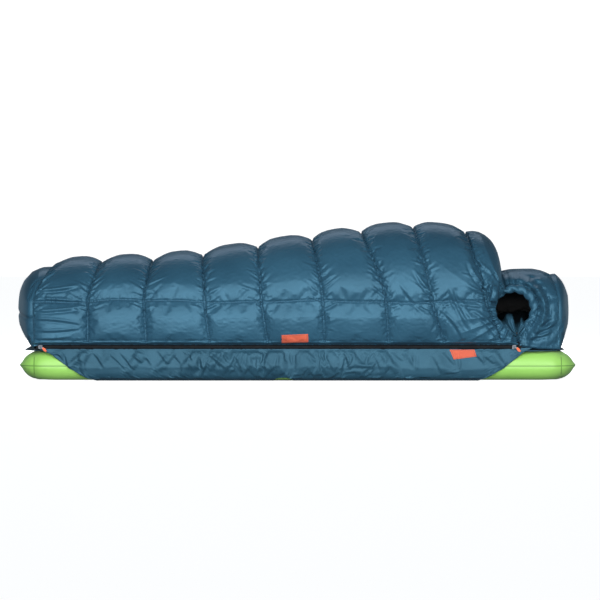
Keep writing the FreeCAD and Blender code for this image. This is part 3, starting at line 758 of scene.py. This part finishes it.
torso = finer(torso, 2, 3)
torso = gather_seams(torso, [2 * row for row in torso_held[:-1]], [3 * SEAM_COLUMN, 3 * far_seam], 100)
torso = behind_sliders(gathered(hand_creases(torso, TORSO_FOLDS)))
torso_shell = padded_piece(
    "torso_shell", torso, faces_outside_opening(torso), 0.8,
    "shell_top_panel", "shell_near_panel", "shell_far_panel", "cross_baffles", "long_baffles", "lining",
    "neck_down", "draft_collar", "draft_tube", *[f"down_chamber_{number}" for number in range(1, 9)])

hood = behind_sliders(gathered(hand_creases(finer(hood, 3, 3), HOOD_FOLDS, 0.0065)))
hood_shell = padded_piece("hood", hood, faces_outside_opening(hood), 0.6, "hood_shell", "hood_down")

foot_end = behind_sliders(finer(foot_end, 2, 2), -ZIP_FRONT)
height = lengths_along(foot_end, 0)
groove = 0.004 * bell(height - height[len(height) * 2 // 5], 0.007)
foot_end -= outward(foot_end) * groove[..., None]
padded_piece("foot_end", foot_end, grid_faces(*foot_end.shape[:2]), 0.7,
             "foot_end_shell", "foot_end_down", "foot_end_lining")

hood_end = finer(hood_end, 2, 2)
padded_piece("hood_end", hood_end, grid_faces(*hood_end.shape[:2])[:, ::-1], 0.7,
             "hood_end_shell", "hood_end_down")

# ---- sleeve: finished piece
def draped(points):
    """Slanted creases down from the top edge, and a soft break where the cloth turns under the pad."""
    chance = np.random.default_rng(31)
    rise = np.zeros(points.shape[:2])
    along, up = points[..., 0], points[..., 2]
    for side in (-1, 1):
        on_side = side * points[..., 1] > 0.2
        for x in np.arange(-0.80, 0.74, 0.043):
            x += chance.uniform(-0.012, 0.012)
            deep = chance.uniform(0.026, 0.064)
            lean = deep * chance.uniform(-0.25, 1.3)
            top = chance.uniform(0.086, 0.100)
            height, width = chance.uniform(0.0016, 0.0042), chance.uniform(0.0036, 0.0056)
            bend = chance.uniform(-0.003, 0.003)
            start, end = (x, top), (x + lean, top - deep)
            rise += on_side * crease(along, up, start, end, height, width, bend)
    break_line = 0.044 + 0.004 * np.sin(9 * along) + 0.002 * np.sin(31 * along)
    rise += 0.0012 * bell(up - break_line, 0.007)
    rise = np.maximum(rise, -0.0016) * clamp(up / 0.02)
    tight = clamp((up - 0.080) / 0.010)
    rise = rise * (1 - tight) + np.clip(rise, -0.001, 0.0010) * tight * (up < 0.100)
    return points - outward(points) * rise[..., None]


sleeve_out = -outward(sleeve_flat)
inward = np.minimum(0, np.sum((sleeve - sleeve_flat) * sleeve_out, axis=2, keepdims=True) - 0.0004)
sleeve = finer(sleeve - sleeve_out * inward, 2, 2)
sleeve = draped(sleeve)
x, y, z = sleeve.reshape(-1, 3).T
room = 0.6 * np.maximum(SLIDER_BOTTOM - z, 0) + 2.0 * np.maximum(GRIP_BOTTOM - z, 0)
y[:] = np.maximum(y, -ZIP_FRONT - room)
z[:] = np.maximum(z, 0.0)
notch_level = np.hypot((x - NOTCH_X) / NOTCH_SIZE[0], z / NOTCH_SIZE[1])
in_notch = (notch_level < 1) & (y < -0.215)
sleeve_faces = grid_faces(*sleeve.shape[:2])[:, ::-1]
cut_away = in_notch[sleeve_faces].any(axis=1)
edge = np.intersect1d(sleeve_faces[cut_away], sleeve_faces[~cut_away])
x[edge] = NOTCH_X + (x[edge] - NOTCH_X) / notch_level[edge]
z[edge] /= notch_level[edge]
sleeve_faces = sleeve_faces[~cut_away]
sleeve_piece = add_mesh("pad_sleeve_cloth", sleeve, sleeve_faces)
finished(sleeve_piece, "sleeve_nylon", stands_for=("pad_sleeve",))


# ---- inflatable pad
def pad_outline(count=420):
    """Points round the rectangle inside the pad's rounded corners, and the direction out from each."""
    half_x, half_y = PAD_HALF_LENGTH - PAD_CORNER, PAD_HALF_WIDTH - PAD_CORNER
    arc = PAD_CORNER * pi / 2
    ends = np.cumsum([0] + [2 * half_y, arc, 2 * half_x, arc] * 2)
    place = np.linspace(0, ends[-1], count, endpoint=False)
    part = np.searchsorted(ends, place, side='right') - 1
    t = (place - ends[part]) / np.diff(ends)[part]
    curved, long_side = part % 2 == 1, part // 2 % 2 == 1
    wide, tall = np.where(long_side, half_y, half_x), np.where(long_side, half_x, half_y)
    along = tall * np.where(curved, 1, 2 * t - 1)
    turn = part // 2 * pi / 2
    across, up = np.cos(turn), np.sin(turn)
    turn = turn + curved * t * pi / 2
    return (wide * across - along * up, wide * up + along * across), (np.cos(turn), np.sin(turn))


def make_pad():
    """Two rings of cloth from the side seam inward, above and below, with welded lines between its tubes."""
    edge_rows = PAD_HALF_HEIGHT * (1 - np.cos(np.linspace(0, pi / 2, 13)))
    flat_rows = np.linspace(PAD_HALF_HEIGHT, PAD_HALF_WIDTH - 0.001, 22)[1:]
    inset = np.concatenate([edge_rows, flat_rows])[:, None]
    used = np.maximum(inset, PAD_CORNER)
    x, y = [np.clip(line, used - half, half - used) + np.maximum(PAD_CORNER - inset, 0) * out
            for line, out, half in zip(*pad_outline(), (PAD_HALF_LENGTH, PAD_HALF_WIDTH))]
    depth = PAD_HALF_HEIGHT + PAD_END_TAPER * clamp((np.abs(x) - 0.80) / 0.08)
    pointed = 0.5 + 0.06 * clamp((np.abs(x) - 0.82) / 0.06)
    height = PAD_HALF_HEIGHT * (1 - (1 - np.minimum(inset / depth, 1)) ** 2) ** pointed
    weld_line = (1 - np.abs(np.cos(pi * y / TUBE_PITCH))) ** 2
    end = bell(np.abs(x) - PAD_END_SEAM, 0.0035)
    height = (height - 0.004 * clamp((inset - 0.012) / 0.04) * weld_line) * (1 - 0.05 * end)
    tip = 0.007 * clamp((np.abs(x) - 0.88) / 0.034) * np.exp(-inset / 0.0010)
    pinch = 0.0035 * end * (inset < PAD_HALF_HEIGHT) + 0.0016 * (inset == 0)
    x, y = x + np.sign(x) * tip, y - np.sign(y) * pinch
    around = np.arange(x.shape[1]) / x.shape[1]
    ripple = 0.0012 * np.sin(tau * 150 * around + 3 * np.sin(40 * around))
    height = height + ripple * np.exp(-inset / 0.010) * (inset > 0)
    quads = grid_faces(*x.shape, ring=True)
    points = [np.stack([x, y, PAD_MIDDLE + side * height], -1) for side in (1, -1)]
    pad = add_mesh("air_pad", points, np.concatenate([quads, quads[:, ::-1] + x.size]))
    weld(pad, 0.0004, close=True)
    pad.data.shade_smooth()
    return pad


air_pad = finished(make_pad(), "pad_fabric", "pad", ("pad_top_sheet", "pad_bottom_sheet", "pad_inner_strips",
                                                     "pad_insulation"))


# ---- tubes: rim, hems and cord
def tube(name, path, radii, sides=10, closed=False, twist=0.0, ridge=0.0, ridges=3):
    """Round tube along a path. Twist turns its ridges round it like a rope."""
    path = np.asarray(path, float)
    ahead = np.roll(path, -1, 0) - np.roll(path, 1, 0) if closed else np.gradient(path, axis=0)
    ahead = unit(ahead)
    side = unit(np.cross(ahead, [0.0, 1.0, 0.0]))
    up = np.cross(side, ahead)
    turn = np.linspace(0, tau, sides, endpoint=False)
    place = np.linspace(0, 1, len(path))[:, None]
    size = np.asarray(radii)[:, None] + ridge * np.sin(ridges * turn[None] + twist * 2 * pi * place)
    spokes = np.cos(turn)[None, :, None] * side[:, None] + np.sin(turn)[None, :, None] * up[:, None]
    points = path[:, None] + size[..., None] * spokes
    rows = len(path)
    if closed:
        points = np.concatenate([points, points[:1]])
        rows += 1
    faces = grid_faces(rows, sides, ring=True).tolist()
    if not closed:
        faces += [range(sides), range((rows - 1) * sides, rows * sides)[::-1]]
    thing = add_mesh(name, points, faces)
    weld(thing, 1e-6)
    return thing


RIM_POINTS = 220


def opening_path(grow, depth=RIM_DEPTH):
    """Line round the face opening, that much outside it, from its tip back to its tip."""
    turn = TIP_ANGLE + np.linspace(0, tau, RIM_POINTS, endpoint=False)
    size = opening_radius(turn) + grow
    x, z = FACE[0] + size * np.cos(turn), FACE[1] + size * np.sin(turn)
    return np.stack([x, depth + 0 * x, z], -1)


from_tip = np.linspace(0, 1, RIM_POINTS, endpoint=False)
rim_size = 0.0048 + 0.0096 * np.sin(pi * clamp(from_tip / 0.66)) ** 0.7
rim = tube("face_rim_roll", opening_path(0.003), rim_size, 28, True, twist=12, ridge=0.0021, ridges=2)
finished(rim, "shell_nylon", stands_for=("face_rim",))


def make_face_lining():
    """Funnel of lining from the rim back to the lining of the hood, in soft folds. Its near-black finish is
    partly painted shade for the inside of the hood.
    """
    turn = np.linspace(0, tau, RIM_POINTS, endpoint=False)
    t = np.linspace(0, 1, 16)[:, None]
    rings = opening_path(0.012 * t, RIM_DEPTH + 0.004 + 0.050 * t)
    rings[..., 1] += 0.004 * np.sin(26 * turn) * np.sin(pi * t)
    return add_mesh("face_lining", rings, grid_faces(*rings.shape[:2], ring=True))


finished(make_face_lining(), "lining_taffeta")


def fold_fan(name, low, high, reach, back, pleats, height, start_depth):
    """Pleats that fan out of the gathered tip between two directions, and turn back into the opening."""
    fan, t = np.linspace(0, 1, 90), np.linspace(0.02, 1, 40)[:, None]
    lean = np.radians(low + (high - low) * fan)
    fold = height * t ** 0.6 * np.cos(tau * pleats * fan + 2.0 * t)
    turn_back = back * t ** 2 + 0.030 * np.maximum(0, t - 0.75) ** 1.3 / 0.25 ** 1.3
    length = reach * t * (1 + 0.06 * np.sin(9 * fan))
    x = FACE[0] + FACE_TIP * cos(TIP_ANGLE) + length * np.cos(lean)
    y = RIM_DEPTH + start_depth + turn_back - fold
    z = FACE[1] + FACE_TIP * sin(TIP_ANGLE) + length * np.sin(lean)
    return add_mesh(name, np.stack([x, y, z], -1), grid_faces(*x.shape)[:, ::-1])


def tip_shade_finish():
    """The shell's cloth, with painted shade that darkens it to near black the deeper it folds back into the
    opening.
    """
    finish = Finish("tip_painted_shade", Roughness=0.45, Specular_IOR_Level=0.4,
                    Specular_Tint=(0.4, 0.75, 1.0, 1.0))
    depth = finish.node("SeparateXYZ", "Y", {0: finish.place})
    ragged = finish.ramp(finish.noise(60.0), 0, 1, -0.006, 0.006)
    # painted shade: share of near black, growing with the depth into the opening, with a ragged edge
    inside = finish.ramp(finish.math('ADD', depth, ragged), -0.186, -0.158)
    finish.paint(finish.colours(inside, linear(46, 82, 102), linear(9, 12, 16)))
    finish.bump((finish.noise(70.0), 0.3, 0.001), (finish.woven(0.0010), 0.08, 0.0002))
    return finish.material


tip_shaded_cloth = tip_shade_finish()
for fan_piece in (fold_fan("tip_folds", 50, 142, 0.085, 0.090, 3.0, 0.0050, 0.006),
                  fold_fan("tip_fold_left", 102, 152, 0.078, 0.004, 2.1, 0.0055, -0.002),
                  fold_fan("tip_fold_right", 46, 78, 0.062, 0.004, 1.6, 0.0050, -0.002)):
    finished(fan_piece, "lining_taffeta")
    fan_piece.data.materials[0] = tip_shaded_cloth

for end_name, edge in (("foot", sleeve[0]), ("head", sleeve[-1])):
    hem_path = edge[::2].copy()
    hem_path[:, 2] = np.maximum(hem_path[:, 2], HEM_RADIUS)
    hem = tube("sleeve_hem_" + end_name, hem_path, [HEM_RADIUS] * len(hem_path))
    finished(hem, "sleeve_nylon")

CORD_TOP = (FACE[0], -0.186, 0.171)
CORD_END = 0.116
CORD_RADIUS = 0.0015
KNOT_RADIUS = 0.0016
cord_line = [(*CORD_TOP[:2], z) for z in np.linspace(CORD_TOP[2], CORD_END, 14)]
cord_tail = tube("hood_cord", cord_line, [CORD_RADIUS] * 14, twist=3, ridge=0.00008, ridges=5)
finished(cord_tail, "drawcord", stands_for=("hood_drawcord",))
knot_line = [(CORD_TOP[0] + KNOT_RADIUS * cos(t), CORD_TOP[1] + KNOT_RADIUS * sin(t),
              CORD_END + 0.0006 * t) for t in np.linspace(0, 2.4 * pi, 26)]
knot = finished(tube("hood_cord_knot", knot_line, [CORD_RADIUS] * 26), "drawcord")

# ---- labels and stitching
PATCH_GRID = (20, 40)


def search_tree(piece):
    """Search tree of a finished piece, for laying labels on its near side."""
    points = [point.co.copy() for point in piece.data.vertices]
    return BVHTree.FromPolygons(points, [tuple(face.vertices) for face in piece.data.polygons])


def laid_patch(name, slot, stands_for, corners, trees, thickness, lift, puff=0.0, stiff=0.0):
    """Thin patch on the near side, and the grid of its front. corners are its (x, z) corners: low left,
    low right, high right, high left. Puff fills it, and stiff is how much of the hollows it bridges."""
    low_left, low_right, high_right, high_left = [np.array(corner) for corner in corners]
    rows, columns = PATCH_GRID
    u = np.linspace(0, 1, columns)[None, :, None]
    v = np.linspace(0, 1, rows)[:, None, None]
    place = (1 - v) * ((1 - u) * low_left + u * low_right) + v * ((1 - u) * high_left + u * high_right)
    depth = np.zeros(PATCH_GRID)
    for row, column in np.ndindex(PATCH_GRID):
        start = Vector((place[row, column, 0], -1.0, place[row, column, 1]))
        hits = [tree.ray_cast(start, Vector((0, 1, 0)))[0] for tree in trees]
        depth[row, column] = min(hit.y for hit in hits if hit is not None)
    for _ in range(3):
        depth[1:-1, 1:-1] = (depth[:-2, 1:-1] + depth[2:, 1:-1] + depth[1:-1, :-2] + depth[1:-1, 2:]) / 4
    depth += (depth.min() - depth) * stiff
    bulge = puff * ((4 * u * (1 - u)) * (4 * v * (1 - v)))[..., 0] ** 0.5 * (1.5 - v[..., 0])
    front = np.stack([place[..., 0], depth - lift - bulge, place[..., 1]], -1)
    patch = add_mesh(name, front, grid_faces(rows, columns)[:, ::-1])
    solid = patch.modifiers.new("thickness", 'SOLIDIFY')
    solid.thickness = thickness
    solid.offset = -1
    finished(patch, slot, stands_for=(stands_for,))
    return front


# Corners of each face of a dash of thread: its upper side in three parts, its two sides and its underside
DASH_FACES = np.array([(0, 1, 3, 2), (2, 3, 5, 4), (4, 5, 7, 6), (0, 2, 4, 6), (1, 7, 5, 3), (0, 6, 7, 1)])


def stitches(name, lines, length=0.0028, pitch=0.0045, half_width=0.0004, rise=0.0005):
    """Rows of thread dashes. Each line is (points, outward directions)."""
    dashes = []
    for points, out in lines:
        travel = travelled(*points.T)
        start = np.arange(0.001, travel[-1] - length, pitch)
        a, b, up = [np.stack([np.interp(place, travel, values) for values in line.T], -1)
                    for place, line in ((start, points), (start + length, points), (start, out))]
        side = half_width * unit(np.cross(b - a, up))
        middles = [a * (1 - share) + b * share + up * lift
                   for share, lift in ((0, -0.0008), (0.3, rise), (0.7, rise), (1, -0.0008))]
        dashes.append(np.stack([middle + way * side for middle in middles for way in (1, -1)], 1))
    dashes = np.concatenate(dashes)
    faces = 8 * np.arange(len(dashes))[:, None, None] + DASH_FACES
    return add_mesh(name, dashes, faces.reshape(-1, 4))


def border_line(front, inset):
    """Line inside the edge of a patch, that many cells in, with its outward directions."""
    inner = front[inset:-inset, inset:-inset]
    line = np.concatenate([inner[0], inner[1:, -1], inner[-1, -2::-1], inner[-2:0:-1, 0]])
    return line, np.tile([0.0, -1.0, 0.0], (len(line), 1))


bag_trees = [search_tree(torso_shell), search_tree(hood_shell)]
patch_front = laid_patch("side_label", "orange_label", "side_patch",
                         [(-0.052, 0.124), (0.035, 0.128), (0.034, 0.156), (-0.053, 0.152)],
                         bag_trees, 0.0010, 0.0011)
flag_front = laid_patch("flag_label", "orange_label", "sleeve_flag",
                        [(0.513, 0.071), (0.588, 0.081), (0.581, 0.1035), (0.499, 0.1035)],
                        [search_tree(sleeve_piece)], 0.0009, 0.0012)
laid_patch("neck_fold", "shell_nylon", "neck_tab",
           [(0.628, 0.262), (0.661, 0.260), (0.657, 0.312), (0.640, 0.318)],
           bag_trees, 0.0012, 0.0030, puff=0.010, stiff=0.6)

torso_out = outward(torso)
seam_lines = [(torso[2 * row], torso_out[2 * row]) for row in torso_held[:-1]]
long_rows = slice(0, 2 * torso_held[-2])
seam_lines += [(torso[long_rows, column], torso_out[long_rows, column])
               for column in (3 * SEAM_COLUMN, 3 * far_seam)]
seam_lines += [border_line(front, 2) for front in (patch_front, flag_front)]
finished(stitches("seam_stitches", seam_lines), "thread")

# ---- finishes of the CAD nodes that show
for part in frame["record"]["subparts"]:
    node = frame["nodes"][part["node"]]
    if part["material_slot"] in FINISHES:
        node.data.materials.clear()
        node.data.materials.append(FINISHES[part["material_slot"]])

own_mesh(frame["nodes"]["cord_lock_spring"])

# ---- stage, light and camera
def make_stage():
    """Pale floor."""
    points = np.array([[[x, y, -0.001] for y in (-16.0, 16.0)] for x in (-16.0, 16.0)])
    stage = add_mesh("stage", points, grid_faces(2, 2))
    finish = Finish("stage_white", Roughness=0.9, Emission_Color=(1, 1, 1, 1), Emission_Strength=0.92)
    finish.paint(finish.colours(finish.noise(2.0), (0.80, 0.80, 0.80, 1), (0.84, 0.84, 0.84, 1)))
    stage.data.materials.append(finish.material)
    stage.visible_glossy = False
    stage.visible_diffuse = False


def make_sky():
    """White backdrop. The light that it gives is brightest near the horizon and dim overhead."""
    sky = bpy.data.worlds.new("studio")
    sky.use_nodes = True
    nodes = Nodes(sky.node_tree)
    place = nodes.node("TexCoord", "Generated")
    height = nodes.math('ABSOLUTE', nodes.node("SeparateXYZ", "Z", {0: place}))
    light = nodes.ramp(height, 0.065, 0.30, SKY_LOW, SKY_HIGH)
    seen = nodes.node("LightPath", "Is Camera Ray")
    strength = nodes.node("Mix", 0, {0: seen, 2: light, 3: SKY_SEEN})
    background = nodes.tree.nodes["Background"].inputs
    nodes.tree.links.new(strength, background["Strength"])
    nodes.tree.links.new(nodes.colours(seen, SKY_TINT, (1, 1, 1, 1)), background["Color"])
    scene.world = sky


def softbox(name, place, target, size, power, colour=(1, 1, 1), mirrored=True):
    """Soft rectangular light. One that is not mirrored adds no bright reflections."""
    light = bpy.data.lights.new(name, 'AREA')
    light.shape = 'RECTANGLE'
    light.size, light.size_y = size
    light.energy, light.color = power, colour
    lamp = bpy.data.objects.new(name, light)
    lamp.location = place
    lamp.rotation_euler = (Vector(target) - Vector(place)).to_track_quat('-Z', 'Y').to_euler()
    lamp.visible_glossy = mirrored
    scene.collection.objects.link(lamp)


def make_camera():
    """Long lens square to the zipper side, a little above the floor."""
    distance, rise, width_seen = 12.0, radians(1.6), 1.972
    aim = Vector((0.0075, 0.0, 0.2596))
    lens = bpy.data.cameras.new("camera")
    camera = bpy.data.objects.new("camera", lens)
    camera.location = aim + distance * Vector((0, -cos(rise), sin(rise)))
    camera.rotation_euler = (pi / 2 - rise, 0, 0)
    lens.sensor_width = 36
    lens.lens = lens.sensor_width * (distance - HALF_WIDTH) / width_seen
    scene.collection.objects.link(camera)
    scene.camera = camera


make_stage()
make_sky()
softbox("front", (0.0, -2.7, 1.30), (0, 0, 1.25), (4.8, 2.0), 110)
softbox("low", (0.0, -2.4, 0.14), (0, 0, 0.06), (4.6, 0.24), 36)
softbox("top", (0.0, 2.2, 2.2), (0, 0, 0.3), (3.0, 0.6), 10, (0.72, 0.84, 1.0))
softbox("back", (0.0, 3.2, 1.0), (0, 0, 0.2), (4.8, 1.3), 90, mirrored=False)
scene.view_settings.view_transform = 'Standard'
make_camera()
